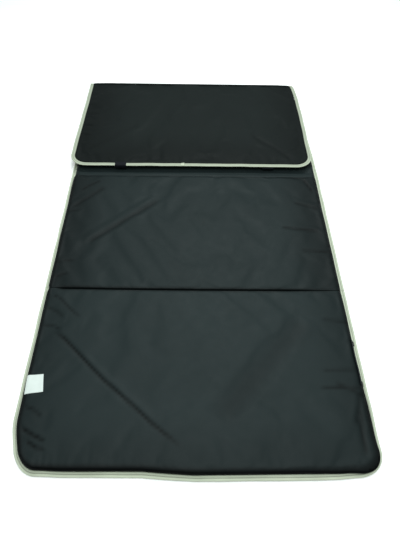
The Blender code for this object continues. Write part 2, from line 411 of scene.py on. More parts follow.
def foam():
    """Open-cell foam: pores of mixed sizes."""
    colour = (0.80, 0.74, 0.55)
    m = Nodes("foam", colour, 0.95)
    cells = m.add("ShaderNodeTexVoronoi", Scale=520.0)
    m.put(cells, "Vector", m.place())
    pores = cells.outputs["Distance"]
    m.shade(colour, m.times(m.spread(pores, 0.7, 1.05), m.spread(m.noise(12, 3.0), 0.9, 1.08)))
    m.rough(200, 1.0, 0.88, 1.0)
    m.normal(m.bump(pores, 0.8, 0.0008))
    return m.material


# ---------------------------------------------------------------- the pockets' shape

def from_seam(x, y, near, far, near_bound, far_bound):
    """Distance in from the bound seam, its outward direction, and distance in from the nearest fold end."""
    far_away = 10.0
    qx = np.abs(x) - (SEAM_X - SEAM_RADIUS)
    low = (near + SEAM_RADIUS - y) if near_bound else np.full(np.shape(y), -far_away)
    high = (y - far + SEAM_RADIUS) if far_bound else np.full(np.shape(y), -far_away)
    qy = np.maximum(low, high)
    y_sign = np.where(low > high, -1.0, 1.0)
    cx, cy = np.maximum(qx, 0), np.maximum(qy, 0)
    reach = np.hypot(cx, cy)
    inside = SEAM_RADIUS - reach - np.minimum(np.maximum(qx, qy), 0)
    in_corner = reach > 1e-9
    along_x = qx > qy
    out_x = np.where(in_corner, cx / np.maximum(reach, 1e-9), np.where(along_x, 1.0, 0.0)) * np.sign(x)
    out_y = np.where(in_corner, cy / np.maximum(reach, 1e-9), np.where(along_x, 0.0, 1.0)) * y_sign
    fold = np.full(np.shape(y), far_away)
    if not near_bound:
        fold = np.minimum(fold, y - near)
    if not far_bound:
        fold = np.minimum(fold, far - y)
    return inside, out_x, out_y, fold


def rise(inside, run, power=2.5):
    """How far a pocket's wall has risen, 0 to 1, that far in from its seam."""
    return np.sqrt(1 - (1 - np.clip(inside / run, 0, 1)) ** power)


def upper_height(inside, run):
    crown = 0.0014 * (smooth(inside / 0.11) - 1)
    return SEAM_HEIGHT + (THICKNESS - SEAM_HEIGHT + crown) * rise(inside, run)


def lower_height(inside):
    tuck = 0.0012 * (1 - smooth((inside - FOOT_RUN) / 0.05))
    return SEAM_HEIGHT * (1 - rise(inside, FOOT_RUN, 2.0)) + tuck * rise(inside, FOOT_RUN, 2.0)


def grid_lines(start, end, spacing):
    steps = np.array(EDGE_STEPS)
    count = max(2, round((end - start - 2 * steps[-1]) / spacing))
    middle = np.linspace(start + steps[-1], end - steps[-1], count + 1)[1:-1]
    return np.concatenate([start + steps, middle, (end - steps)[::-1]])


def round_corners(x, y, near, far, near_bound, far_bound):
    """Moves a square grid's corners in to the seam's rounded ones."""
    radius = SEAM_RADIUS
    a = (np.abs(x) - (SEAM_X - radius)) / radius
    for bound, b, centre, sign in (
        (near_bound, (near + radius - y) / radius, near + radius, -1),
        (far_bound, (y - far + radius) / radius, far - radius, 1),
    ):
        if not bound:
            continue
        corner = (a > 0) & (b > 0)
        ca, cb = np.where(corner, a, 0), np.where(corner, b, 0)
        new_x = np.sign(x) * (SEAM_X - radius + radius * ca * np.sqrt(1 - cb * cb / 2))
        new_y = centre + sign * radius * cb * np.sqrt(1 - ca * ca / 2)
        x, y = np.where(corner, new_x, x), np.where(corner, new_y, y)
    return x, y


# Creases pressed into each panel's visible face, as it lies: points, width and depth in millimetres,
# and the share of the depth that rises beside the line
CREASES = {
    1: [
        ([(-352, -363), (-319, -388), (-214, -492), (-150, -546), (-91, -598), (-20, -652)], 4, 3.6, 0.7),
        ([(-372, -262), (-350, -272), (-322, -300), (-286, -330)], 3, 1.6, 0.7),
        ([(-378, -300), (-352, -308), (-330, -330)], 3.4, 1.4, 0.8),
        ([(-380, -352), (-352, -352), (-326, -366)], 3, 1.4, 0.8),
        ([(-380, -556), (-355, -566), (-334, -584)], 3.4, 1.6, 0.8),
        ([(-378, -605), (-352, -622), (-322, -636)], 4, 3, 0.8),
        ([(-366, -634), (-346, -650), (-322, -652)], 3.6, 2.4, 0.7),
        ([(279, -328), (160, -462), (43, -602)], 30, 1.6, 0.3),
        ([(296, -469), (388, -467)], 3.4, 1.6, 0.7),
        ([(286, -515), (384, -510)], 3.4, 1.6, 0.7),
        ([(322, -500), (362, -520), (384, -532)], 4.4, 1.4, 0.8),
        ([(350, -600), (366, -560), (376, -520)], 5, 1.2, 0.6),
        ([(322, -330), (386, -338)], 5, 1, 0.6),
        ([(368, -560), (362, -620), (360, -668)], 5, 1.6, 0.6),
    ],
    2: [
        ([(-310, -82), (-205, 10), (-105, 102)], 9, 1.4, 1.0),
        ([(-356, 133), (-297, 178)], 4, 1.8, 0.8),
        ([(-374, 60), (-330, 98), (-280, 150)], 7, 1.4, 0.9),
        ([(250, -17), (366, -30)], 5, 1.8, 0.8),
        ([(299, -104), (382, -108)], 4, 1.8, 0.8),
        ([(300, 86), (378, 60)], 6, 1.4, 0.8),
        ([(215, 200), (351, 198)], 3, 1.4, 0.6),
        ([(342, 196), (356, 165), (366, 136)], 4, 2.2, 0.7),
        ([(-384, -150), (-330, -140)], 4, 1.4, 0.8),
        ([(-382, -205), (-340, -186)], 4.4, 1.6, 0.8),
        ([(-386, 40), (-345, 52)], 4, 1.4, 0.8),
    ],
    3: [],
    4: [
        ([(-360, 300), (-290, 352), (-190, 450)], 14, 1, 0.8),
        ([(200, 390), (270, 330), (340, 262)], 12, 1.1, 0.8),
        ([(310, 300), (360, 322)], 5, 1, 0.8),
        ([(-388, 392), (-352, 378)], 4.5, 1.6, 0.8),
        ([(-386, 440), (-350, 432)], 4.5, 1.6, 0.8),
        ([(-384, 500), (-340, 506)], 5, 1.4, 0.8),
    ],
}


def settle(x, y, z, held):
    """Lets a pocket's skin, cut a little larger than its slab, buckle as cloth. Returns its new points.

    held is 1 where the cloth is sewn down and 0 where it is free.
    """
    rows, columns = x.shape
    faces = grid_faces(np.arange(rows * columns).reshape(rows, columns)).tolist()
    start = np.column_stack([x.ravel(), y.ravel(), z.ravel()])
    skin = mesh_object("skin", start, faces, [])
    group = skin.vertex_groups.new(name="held")
    for number, weight in enumerate(held.ravel()):
        if weight > 0:
            group.add([number], float(weight), "REPLACE")
    modifier = skin.modifiers.new("Cloth", "CLOTH")
    cloth = modifier.settings
    cloth.quality, cloth.mass = 5, 0.25
    cloth.tension_stiffness = cloth.compression_stiffness = 12
    cloth.shear_stiffness, cloth.bending_stiffness = 6, 0.25
    cloth.vertex_group_mass = "held"
    cloth.shrink_min = cloth.shrink_max = -EXTRA_CLOTH
    cloth.effector_weights.gravity = 0
    modifier.point_cache.frame_end = SETTLE_FRAMES
    scene = bpy.context.scene
    for number in range(1, SETTLE_FRAMES + 1):
        scene.frame_set(number)
    evaluated = skin.evaluated_get(bpy.context.evaluated_depsgraph_get())
    moved = np.zeros(len(start) * 3)
    evaluated.data.vertices.foreach_get("co", moved)
    scene.frame_set(1)
    bpy.data.objects.remove(skin)
    moves = (moved.reshape(-1, 3) - start).reshape(rows, columns, 3)
    side = np.clip(moves[..., :2], -SOFT_SIDE, SOFT_SIDE)
    up = SETTLE_CAP * np.tanh(moves[..., 2] / SETTLE_CAP)
    return x + side[..., 0], y + side[..., 1], z + up


def pucker(x, y, inside, out_x, out_y, seed):
    """Small gathers that run in from the seam, where the tape holds the cloth."""
    seam_x, seam_y = x + out_x * inside, y + out_y * inside
    fine = ripple(seam_x, seam_y, 0.020, seed)
    long = ripple(seam_x, seam_y, 0.055, seed + 1)
    return 0.00060 * fine * np.exp(-inside / 0.010) + 0.00100 * long * np.exp(-inside / 0.026)


def press(height, level, share):
    """Sinks a face a little and rounds off its bumps, so that it clears the face it folds down onto."""
    height = height - PRESSED_DOWN * share
    limit = level - 0.0004     # above this, bumps are rounded off
    over = np.maximum(height - limit, 0)
    return np.minimum(height, limit) + BUMP_ROOM * np.tanh(over / BUMP_ROOM)


def wall_shape(number, x, y, seed):
    """How far in the side wall runs, and how far it bellies out over the tape, at each place."""
    # It stands steep at the left and slopes at the right
    lean = smooth((x + 0.25) / 0.6)
    run = WALL_RUN * (0.75 + 0.55 * lean + 0.12 * ripple(x, y, 0.30, seed + 5))
    belly = 0.0026 - 0.0018 * lean + 0.0006 * ripple(x, y, 0.12, seed + 6)
    if number == 1:        # its right side, and its corner there most of all, bulges over the tape
        belly = belly + 0.0035 * smooth((x - 0.2) / 0.15) * smooth((-0.42 - y) / 0.15)
        belly = belly + 0.0075 * np.exp(-((x - 0.365) / 0.03) ** 2 - ((y + 0.675) / 0.03) ** 2)
    return run, belly


def fold_valley(number, x, y, inside, fold, top, bottom):
    """Rounds a pocket's faces down at its folds. Returns them, and how much of the valley shows."""
    middle = SEAM_HEIGHT + 0.45 * (THICKNESS / 2 - SEAM_HEIGHT) * smooth(inside / 0.03)
    # The valley fades out at the mattress's sides, where the cloth runs straight across
    shows = smooth((inside - 0.016) / 0.028)
    if number in (1, 2):
        at_fold_1 = np.abs(y - FOLD_1) < 0.1
        shows = shows * (1 - 0.65 * smooth((x - 0.24) / 0.12) * at_fold_1)
    rim = middle + (1 - shows) * np.maximum(top - 0.0006 - middle, 0)
    valley = (1 - rise(fold, FOLD_NOSE, 2.2)) * (shows + (1 - shows) * (fold < EDGE_STEPS[1] / 2))
    top = top - (top - rim) * valley - 0.0016 * shows * np.exp(-fold / 0.007)
    bottom = rim + (bottom - rim) * rise(fold, 0.0016, 2.2)
    return top, bottom, shows


def wrinkle(number, x, y, seed):
    """The face's soft waves and pressed creases, and how strongly the painted shade along each crease shows.
    """
    wrinkles = 0.0010 * ripple(x, y, 0.26, seed + 1) + 0.00040 * ripple(x, y, 0.085, seed + 2)
    crease_shade = np.zeros(x.shape)
    for points, width, depth, ridge in CREASES[number]:
        move, line = crease(x, y, np.array(points) / 1000, width / 1000, depth / 1000, ridge)
        wrinkles = wrinkles + move
        strength = min(1, depth / FULL_LINE) if width < BROAD_CREASE else 0.3
        # How strongly each crease's painted shade line shows
        crease_shade = np.maximum(crease_shade, line * strength)
    return wrinkles, crease_shade


def pocket_painted_shade(number, x, inside, fold, valley_shows, crease_shade):
    """Painted shade as tone: darker up the side wall, a little darker near the edges, along the pressed lines
    and at the folds.
    """
    wall_painted_shade = 0.10 + 0.90 * smooth((inside - 0.002) / 0.014)
    edge_painted_shade = 0.74 + 0.26 * smooth(inside / 0.13)
    if number == 2:
        edge_painted_shade = 0.44 + 0.40 * smooth(inside / 0.16)
    # Panel 4's edge gets painted shade, with a little painted light towards its right
    if number == 4:
        near_edge = 1 - smooth(inside / 0.18)
        edge_painted_shade = 1 - 0.48 * near_edge + 0.10 * smooth(x / 0.3) * near_edge
    fold_painted_shade = valley_shows * (1 - smooth(fold / 0.011))
    top_painted_shade = wall_painted_shade * edge_painted_shade * (1 - 0.88 * crease_shade) * (1 - 0.80 * fold_painted_shade)
    # The lower face: painted shade near its seam, and along panel 4's pressed lines
    low_painted_shade = (0.45 + 0.55 * smooth(inside / 0.008)) * edge_painted_shade
    return top_painted_shade, low_painted_shade * (1 - 0.40 * crease_shade) if number == 4 else low_painted_shade


def pocket(number, near, far, near_bound, far_bound, spacing, looks):
    """One panel's cover as a closed soft pocket, seam line all round, upper and lower skin."""
    xs, ys = grid_lines(-SEAM_X, SEAM_X, spacing), grid_lines(near, far, spacing)
    x, y = np.meshgrid(xs, ys, indexing="ij")
    x, y = round_corners(x, y, near, far, near_bound, far_bound)
    inside, out_x, out_y, fold = from_seam(x, y, near, far, near_bound, far_bound)
    inside = np.maximum(inside, 0)
    seed = 100 * number
    run, belly = wall_shape(number, x, y, seed)
    top, bottom, valley_shows = fold_valley(number, x, y, inside, fold, upper_height(inside, run),
                                            lower_height(inside))
    # Wrinkles go on the face that shows: the upper one, or panel 4's lower one
    wrinkles, crease_shade = wrinkle(number, x, 2 * FOLD_3 - y if number == 4 else y, seed)
    wrinkles = wrinkles * smooth(inside / 0.020) * smooth(fold / 0.012)
    wrinkles = wrinkles + pucker(x, y, inside, out_x, out_y, seed + 3) * smooth(inside / 0.004)
    climbed = rise(inside, run)
    swell = belly * np.sin(math.pi * np.clip(climbed, 0, 1)) * smooth(fold / 0.01)
    top_x, top_y = x + out_x * swell, y + out_y * swell
    low_x, low_y = x, y
    held = 1 - smooth((inside - 0.004) / 0.010) * smooth(fold / 0.008)
    flat_share = smooth(inside / 0.020)
    if number == 4:
        low_x, low_y, bottom = settle(x, y, bottom - wrinkles + 0.0002, held)
        bottom = np.where(inside > 0, -press(-bottom, 0, flat_share), bottom)
    elif number == 3:
        top = top + wrinkles
    else:
        top_x, top_y, top = settle(top_x, top_y, top + wrinkles, held)
    top = press(top, THICKNESS, flat_share)
    tones = pocket_painted_shade(number, x, inside, fold, valley_shows, crease_shade)
    return pocket_mesh(number, (top_x, top_y, top), (low_x, low_y, bottom), inside, tones, looks)


def pocket_mesh(number, top, bottom, from_rim, tones, looks):
    """Sews the upper and the lower grid together along their shared rim."""
    rows, columns = top[0].shape
    upper = np.arange(rows * columns).reshape(rows, columns)
    inner = np.ones((rows, columns), bool)
    inner[[0, -1], :] = False
    inner[:, [0, -1]] = False
    lower = upper.copy()
    lower[inner] = rows * columns + np.arange(inner.sum())
    points = np.column_stack([part.ravel() for part in top])
    points = np.vstack([points, np.column_stack([part[inner] for part in bottom])])
    faces, low_faces = grid_faces(upper), grid_faces(lower, flip=True)
    points = as_it_lies(points, over=number == 4)
    piece = mesh_object(f"pocket_{number}", points, np.vstack([faces, low_faces]).tolist(),
                        [looks["upper"], looks["lower"], looks["wall"]])
    # Upper faces up the side wall take the side wall's darker cloth, painted shade
    on_wall = (from_rim[:-1, :-1] + from_rim[1:, 1:]) / 2 < WALL_CLOTH
    on_top = np.where(on_wall.ravel() & (number != 4), 2, 0)
    piece.data.polygons.foreach_set("material_index", np.concatenate([on_top, np.ones(len(low_faces), int)]))
    add_tone(piece, np.concatenate([tones[0].ravel(), tones[1][inner]]))
    return piece


def make_pockets(looks):
    near_seam, far_seam = NEAR_END + TAPE_WIDTH, FAR_END - TAPE_WIDTH
    panels = [
        (1, near_seam, FOLD_1 - SLIT, True, False, 0.0070),
        (2, FOLD_1 + SLIT, WEB_START, False, False, 0.0070),
        (3, WEB_END, FOLD_3 - SLIT, False, False, 0.0120),
        (4, FOLD_3 + SLIT, far_seam, False, True, 0.0070),
    ]
    for number, near, far, near_bound, far_bound, spacing in panels:
        piece = subdivide(pocket(number, near, far, near_bound, far_bound, spacing, looks))
        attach(piece, f"panel_{number}")
        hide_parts(f"upper_cover_{number}", f"lower_cover_{number}")


def make_foam(looks):
    """Foam slabs with rounded edges, which fill the pockets."""
    for number in (1, 2, 3, 4):
        low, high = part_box(f"foam_core_{number}")
        size = high - low
        piece = mesh_object(f"foam_slab_{number}", *unit_box(), [looks["foam"]])
        size = size - 2 * Vector((FOAM_GAP, FOAM_GAP, FOAM_SINK))
        piece.data.transform(Matrix.Diagonal((*size, 1)))
        piece.data.transform(Matrix.Translation((low + high) / 2))
        bevel = piece.modifiers.new("Bevel", "BEVEL")
        bevel.width, bevel.segments, bevel.limit_method = FOAM_ROUNDING, 5, "NONE"
        apply_modifiers(piece)
        cut_across(piece, low, high)
        points = np.array([vertex.co for vertex in piece.data.vertices])
        points = as_it_lies(shift_flap(points) if number == 4 else points)
        points = fit_inside(points, bpy.data.objects[f"pocket_{number}"])
        piece.data.vertices.foreach_set("co", points.astype(np.float32).ravel())
        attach(piece, f"panel_{number}")
        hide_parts(f"foam_core_{number}")


def fit_inside(points, pocket_piece):
    """Presses a slab's faces in where its cover dips, so that the foam stays under the cloth."""
    cover = BVHTree.FromObject(pocket_piece, bpy.context.evaluated_depsgraph_get())
    middle = points[:, 2].mean()
    fitted = points.copy()
    for number, (x, y, z) in enumerate(points):
        way = 1 if z > middle else -1
        for dx, dy in ((0, 0), (-1, -1), (-1, 1), (1, -1), (1, 1), (-1, 0), (1, 0), (0, -1), (0, 1)):
            start = Vector((x + 0.010 * dx, y + 0.008 * dy, middle + ABOVE * way))
            hit = cover.ray_cast(start, Vector((0, 0, -way)))[0]
            if hit and (hit.z - middle) * way > 0.002:
                room = (hit.z - middle) * way - UNDER_CLOTH
                fitted[number, 2] = middle + way * min((fitted[number, 2] - middle) * way, room)
    return fitted


def cut_across(piece, low, high):
    """Cuts a slab's faces into a grid, so that it can follow the way its cover lies."""
    made = bmesh.new()
    made.from_mesh(piece.data)
    for axis, count in ((0, 40), (1, 24)):
        normal = Vector((1 - axis, axis, 0))
        for share in np.linspace(0, 1, count + 1)[1:-1]:
            place = normal * (low[axis] + (high[axis] - low[axis]) * share)
            everything = made.verts[:] + made.edges[:] + made.faces[:]
            bmesh.ops.bisect_plane(made, geom=everything, plane_co=place, plane_no=normal)
    made.to_mesh(piece.data)
    made.free()


def unit_box():
    verts = [(x, y, z) for x in (-0.5, 0.5) for y in (-0.5, 0.5) for z in (-0.5, 0.5)]
    faces = [(0, 1, 3, 2), (4, 6, 7, 5), (0, 4, 5, 1), (2, 3, 7, 6), (0, 2, 6, 4), (1, 5, 7, 3)]
    return verts, faces


# ---------------------------------------------------------------- cloth at the folds

def sheet_mesh(name, rows, thickness, look, tones, laid=False):
    """A thin closed sheet over a grid of points, thick on the side that its normals point away from.

    laid means that the points are already where the cloth lies.
    """
    points = np.array(rows, float)
    step_u = np.gradient(points, axis=0)
    step_v = np.gradient(points, axis=1)
    normals = np.cross(step_u, step_v)
    normals /= np.maximum(np.linalg.norm(normals, axis=2, keepdims=True), 1e-12)
    back = points - thickness * normals
    rows_n, columns = points.shape[:2]
    front_index = np.arange(rows_n * columns).reshape(rows_n, columns)
    offset = rows_n * columns
    back_index = front_index + offset
    faces = grid_faces(front_index).tolist() + grid_faces(back_index, flip=True).tolist()
    rim = np.concatenate([front_index[:, 0], front_index[-1, 1:], front_index[-2::-1, -1],
                          front_index[0, -2:0:-1]])
    for start, end in zip(rim.tolist(), np.roll(rim, -1).tolist()):
        faces.append([start, start + offset, end + offset, end])
    both = np.vstack([points.reshape(-1, 3), back.reshape(-1, 3)])
    piece = mesh_object(name, both if laid else as_it_lies(both), faces, [look])
    add_tone(piece, np.concatenate([np.ravel(tones)] * 2))
    return piece


def fold_sheet(name, xs, ys, height, look, tone=0.6):
    x, y = np.meshgrid(xs, ys, indexing="ij")
    z = height(x, y)
    inside = SEAM_X - np.abs(x)
    # Painted shade: the fold cloth is darker than the faces, and darker still towards the sides
    tones = tone * (0.45 + 0.55 * smooth((inside - 0.002) / 0.016))
    return sheet_mesh(name, np.stack([x, y, z], -1), CLOTH, look, tones)


def make_folds(looks):
    xs = grid_lines(-SEAM_X, SEAM_X, 0.010)
    # Fold 1: a narrow strip under the two pockets' ends
    reach = 0.006
    ys = np.linspace(FOLD_1 - reach, FOLD_1 + reach, 25)
    strip = fold_sheet("fold_strip_1_cloth", xs, ys, foot_height, looks["lower"])
    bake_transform(strip)
    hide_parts("fold_strip_1")
    # Fold 2: slack cloth above and below, over the gap between the slabs
    tuck = 0.005
    ys = np.linspace(WEB_START - tuck, WEB_END + tuck, 41)
    lower = fold_sheet("fold_web_2_lower", xs, ys, foot_height, looks["lower"])
    upper = fold_sheet("fold_web_2_upper", xs, ys, web_height, looks["upper"], tone=0.85)
    for piece in (lower, upper):
        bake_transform(piece)
    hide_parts("fold_web_2")
    make_spine(looks, xs)


def foot_height(x, y):
    """The lower cloth at folds 1 and 2, a little above the pockets' feet."""
    return lower_height(SEAM_X - np.abs(x)) + 0.0012


def web_height(x, y):
    """The upper cloth at fold 2: it leaves panel 2 a little low, rises in a ridge and sags on."""
    across = (y - WEB_START) / (WEB_END - WEB_START)
    level = upper_height(SEAM_X - np.abs(x), WALL_RUN) - PRESSED_DOWN
    ridge = 0.0014 * np.exp(-(((y - WEB_START - 0.012 - 0.004 * np.sin(9 * x)) / 0.006) ** 2))
    sag = 0.0035 * np.sin(math.pi * np.clip(across, 0, 1)) ** 2
    shape = ridge - sag - 0.0012 * (np.abs(across - 0.5) > 0.5)
    return level + (shape + 0.0004 * ripple(x, y, 0.06, 41)) * smooth((SEAM_X - np.abs(x)) / 0.02)


def make_spine(looks, xs):
    """The cloth round the folded edge, from panel 3's foot up and over to panel 4's face."""
    lap = 0.006
    bulge = SPINE_END - FOLD_3
    turns = np.linspace(-math.pi / 2, math.pi / 2, 25)
    rows = []
    for x in xs[::-1]:
        inside = SEAM_X - abs(x)
        low = float(lower_height(np.array(inside)))
        half_height = THICKNESS - low + 0.0003
        wave = 0.0006 * ripple(x, 0.0, 0.11, 61) + 0.0003 * ripple(x, 0.0, 0.035, 62)
        row = [(FOLD_3 - lap, -half_height)]
        row += [(FOLD_3 + (bulge + wave) * math.cos(a) ** 0.8, half_height * math.sin(a)) for a in turns]
        row += [(FOLD_3 - lap, half_height)]
        rows.append([(x, y, THICKNESS + z) for y, z in row])
    inside = SEAM_X - np.abs(xs)
    # Painted shade: the spine's cloth is darker, and darker still towards the sides
    tones = np.repeat(0.55 * (0.6 + 0.4 * smooth(inside / 0.016))[:, None], len(rows[0]), axis=1)
    spine = sheet_mesh("fold_spine_cloth", rows, CLOTH, looks["lower"], tones)
    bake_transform(spine)
    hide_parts("fold_spine_3")


# ---------------------------------------------------------------- edge tape

# The folded tape's section: inset from the outline, and height from the middle of its thickness
TAPE_SECTION = [
    (0.0000, 0.0000), (0.0004, 0.0010), (0.0016, 0.0015), (0.0034, 0.0017), (0.0050, 0.0014),
    (0.0060, 0.0008), (0.0070, 0.0014), (0.0086, 0.0016), (0.0104, 0.0014), (0.0122, 0.0009),
    (0.0128, 0.0000), (0.0120, -0.0010), (0.0090, -0.0014), (0.0060, -0.0009), (0.0034, -0.0015),
    (0.0010, -0.0011),
]
# Each section point's tone is painted shade: darkest in the stitched groove, at the tape's inner edge and in
# the dip under it
TAPE_TONES = [0.9, 1, 1, 0.97, 0.85, 0.30, 0.85, 0.97, 0.95, 0.7, 0.4, 0.5, 0.8, 0.5, 0.8, 0.85]
GROOVE = 5                 # which point of the section the stitches lie on
TAPE_MIDDLE = (TAPE_LOW + TAPE_HIGH) / 2
STITCH_PITCH = 0.0036
STITCH_LENGTH = 0.0026
STITCH_SIDES = 5
# Each ring of a stitch: how far along it, its share of the radius, and how far up it lies
STITCH_RINGS = ((0.0, 0.35, -0.5), (0.2, 0.95, 0.0), (0.8, 0.95, 0.0), (1.0, 0.35, -0.5))


def waver(places, seed):
    """The tape's slight waviness: how far it moves out and up at each place."""
    x, y = places[:, 0], places[:, 1]
    return 0.0006 * ripple(x, y, 0.10, seed), 0.0004 * ripple(x, y, 0.07, seed + 1)


class TapePath:
    """A run of tape: its outline points, outward and upward directions."""

    def __init__(self, points, outs, ups):
        self.points = np.array(points, float)
        self.outs = np.array(outs, float)
        self.ups = np.array(ups, float)

    def section(self, inset, height):
        """The line of points that far in from the outline and that far up."""
        out_move, up_move = waver(self.points, 71)
        return (self.points - self.outs * (inset - out_move)[:, None]
                + self.ups * (height + up_move)[:, None])


def flat_path(stations):
    """Stations are (x, y, out_x, out_y) on the outline, and the tape lies flat there."""
    points = [(x, y, TAPE_MIDDLE) for x, y, _, _ in stations]
    outs = [(out_x, out_y, 0) for _, _, out_x, out_y in stations]
    return TapePath(points, outs, [(0, 0, 1)] * len(stations))


def straight(x, y_start, y_end, sign, pitch=0.005):
    count = max(2, round(abs(y_end - y_start) / pitch) + 1)
    return [(x, y, sign, 0) for y in np.linspace(y_start, y_end, count)]


def round_end(y_end, sign):
    """The stations of a bound end from left to right: corner, edge, corner."""
    inner_x = HALF - CORNER_RADIUS
    centre_y = y_end - sign * CORNER_RADIUS
    corner = []
    for angle in np.linspace(0, math.pi / 2, 22)[1:]:
        out = (math.cos(angle), sign * math.sin(angle))
        corner.append((inner_x + CORNER_RADIUS * out[0], centre_y + CORNER_RADIUS * out[1], *out))
    left_corner = [(-x, y, -out_x, out_y) for x, y, out_x, out_y in corner]
    edge = [(x, y_end, 0, sign) for x in np.linspace(-inner_x, inner_x, 141)[1:-1]]
    return left_corner + edge + corner[::-1]


def tube_faces(count, around):
    """The faces of a swept section, so many loops of so many points, capped at both ends."""
    index = np.arange(count * around).reshape(count, around)
    closed = np.hstack([index, index[:, :1]])
    return grid_faces(closed).tolist() + [index[0].tolist(), index[-1][::-1].tolist()]


def swept(name, loops, look, tones=None):
    """A closed tube: the first axis of loops counts them, and the second counts each one's points."""
    count, around = loops.shape[:2]
    piece = mesh_object(name, loops.reshape(-1, 3), tube_faces(count, around), [look])
    if tones is not None:
        add_tone(piece, np.tile(tones, count))
    orient(piece)
    return piece


def tape_mesh(name, path, look, over, widen=1, thicken=1, tones=TAPE_TONES):
    """The tape's section swept along a path and capped at both ends."""
    loops = np.stack([path.section(inset * widen, height * thicken) for inset, height in TAPE_SECTION], 1)
    points = as_it_lies(loops.reshape(-1, 3), over)
    return swept(name, points.reshape(loops.shape), look, tones)


def orient(piece):
    """Points the faces outwards, whichever way the path ran."""
    made = bmesh.new()
    made.from_mesh(piece.data)
    bmesh.ops.recalc_face_normals(made, faces=made.faces)
    made.to_mesh(piece.data)
    made.free()


def stitch_mesh(name, path, look, over):
    """A lockstitch of separate short threads, lying in the tape's groove."""
    inset, height = TAPE_SECTION[GROOVE]
    line = path.section(inset, height + 0.0003)
    ups = path.ups
    lengths = np.concatenate([[0], np.cumsum(np.linalg.norm(np.diff(line, axis=0), axis=1))])
    count = int(lengths[-1] / STITCH_PITCH)
    points, faces = [], []
    tube = tube_faces(len(STITCH_RINGS), STITCH_SIDES)
    half, radius = STITCH_LENGTH / 2, 0.00034
    for number in range(count):
        middle = (number + 0.5) * STITCH_PITCH
        ends = [np.array([np.interp(middle + shift, lengths, line[:, axis]) for axis in range(3)])
                for shift in (-half, half)]
        up = np.array([np.interp(middle, lengths, ups[:, axis]) for axis in range(3)])
        along = ends[1] - ends[0]
        side = np.cross(along, up)
        side /= np.linalg.norm(side)
        first = len(points)
        for share, swell, dip in STITCH_RINGS:
            centre = ends[0] + along * share + up * dip * radius
            for turn in range(STITCH_SIDES):
                angle = math.tau * turn / STITCH_SIDES
                points.append(centre + radius * swell * (math.cos(angle) * side + math.sin(angle) * up))
        faces += [[first + corner for corner in face] for face in tube]
    piece = mesh_object(name, as_it_lies(points, over), faces, [look])
    orient(piece)
    return piece


def add_tape(name, path, looks, nodes, place, over=False):
    """A run of tape with its stitches. place puts both on their body or bodies."""
    tape = tape_mesh(f"tape_{name}", path, looks["tape"], over)
    stitches = stitch_mesh(f"stitching_{name}", path, looks["thread"], over)
    for piece in (tape, stitches):
        place(piece)
    if nodes:
        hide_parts(*nodes)


def riding(body):
    return lambda piece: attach(piece, body)


def bending():
    return lambda piece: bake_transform(piece)


def make_tape(looks):
    turn = 0.007           # from a fold line to where the bending run starts
    web_low, web_high = WEB_START - 0.002, WEB_END + 0.002
    loop = (straight(-HALF, FOLD_1 - turn, NEAR_END + CORNER_RADIUS, -1)
            + round_end(NEAR_END, -1)
            + straight(HALF, NEAR_END + CORNER_RADIUS, FOLD_1 - turn, 1)[1:])
    add_tape("1", flat_path(loop), looks, ["binding_1"], riding("panel_1"))
    for side, sign in (("left", -1), ("right", 1)):
        x = sign * HALF
        add_tape(f"fold_1_{side}", flat_path(straight(x, FOLD_1 - turn, FOLD_1 + turn, sign, 0.0007)),
                 looks, [], bending())
        add_tape(f"2_{side}", flat_path(straight(x, FOLD_1 + turn, web_low, sign)),
                 looks, [f"binding_2_{side}"], riding("panel_2"))
        add_tape(f"fold_2_{side}", flat_path(straight(x, web_low, web_high, sign, 0.0015)),
                 looks, [], bending())
        add_tape(f"3_{side}", flat_path(straight(x, web_high, FOLD_3 - turn, sign)),
                 looks, [f"binding_3_{side}"], riding("panel_3"))
        add_tape(f"fold_3_{side}", spine_path(x, sign, turn), looks, [],
                 bending())
    far = round_end(FAR_END, 1)
    join = next(i for i, station in enumerate(far) if -station[0] <= join_x())
    left = straight(-HALF, FOLD_3 + turn, FAR_END - CORNER_RADIUS, -1) + far[:join + 1]
    right = far[join:] + straight(HALF, FAR_END - CORNER_RADIUS, FOLD_3 + turn, 1)[1:]
    add_tape("4_left", flat_path(left), looks, ["binding_4_left"], riding("panel_4"), over=True)
    add_tape("4_right", flat_path(right), looks, ["binding_4_right"], riding("panel_4"), over=True)
    make_join(looks)


def join_x():
    """Where the tape's two ends meet, halfway between panel 4's two CAD lengths."""
    return -(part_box("binding_4_left")[1].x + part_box("binding_4_right")[0].x) / 2


def make_join(looks):
    """The tape's turned-in end, a little thicker, lying askew over its start."""
    count = 12
    stations = [(x, FAR_END, 0, 1) for x in np.linspace(-join_x() - 0.007, -join_x() + 0.004, count)]
    path = flat_path(stations)
    path.points[:, 1] -= np.linspace(-0.0004, 0.0016, count)
    path.points[:, 2] -= 0.0003
    tones = [min(1.15, 1.25 * tone) for tone in TAPE_TONES]
    join = tape_mesh("tape_join", path, looks["tape"], True, widen=1.03, thicken=1.9, tones=tones)
    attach(join, "panel_4")


def spine_path(x, sign, turn):
    """The tape round the folded edge: flat on panel 3, round the spine, and flat on panel 4."""
    bulge = SPINE_END - FOLD_3 + 0.002
    places = [(y, -math.pi / 2) for y in np.linspace(FOLD_3 - turn, FOLD_3, 5)[:-1]]
    places += [(FOLD_3, angle) for angle in np.linspace(-math.pi / 2, math.pi / 2, 31)]
    places += [(y, math.pi / 2) for y in np.linspace(FOLD_3, FOLD_3 - turn, 5)[1:]]
    reach = THICKNESS - TAPE_MIDDLE
    points = [(x, y + bulge * math.cos(angle), THICKNESS + reach * math.sin(angle)) for y, angle in places]
    ups = [(0, -math.cos(angle), -math.sin(angle)) for _, angle in places]
    return TapePath(points, [(sign, 0, 0)] * len(places), ups)


# ---------------------------------------------------------------- webbing and label

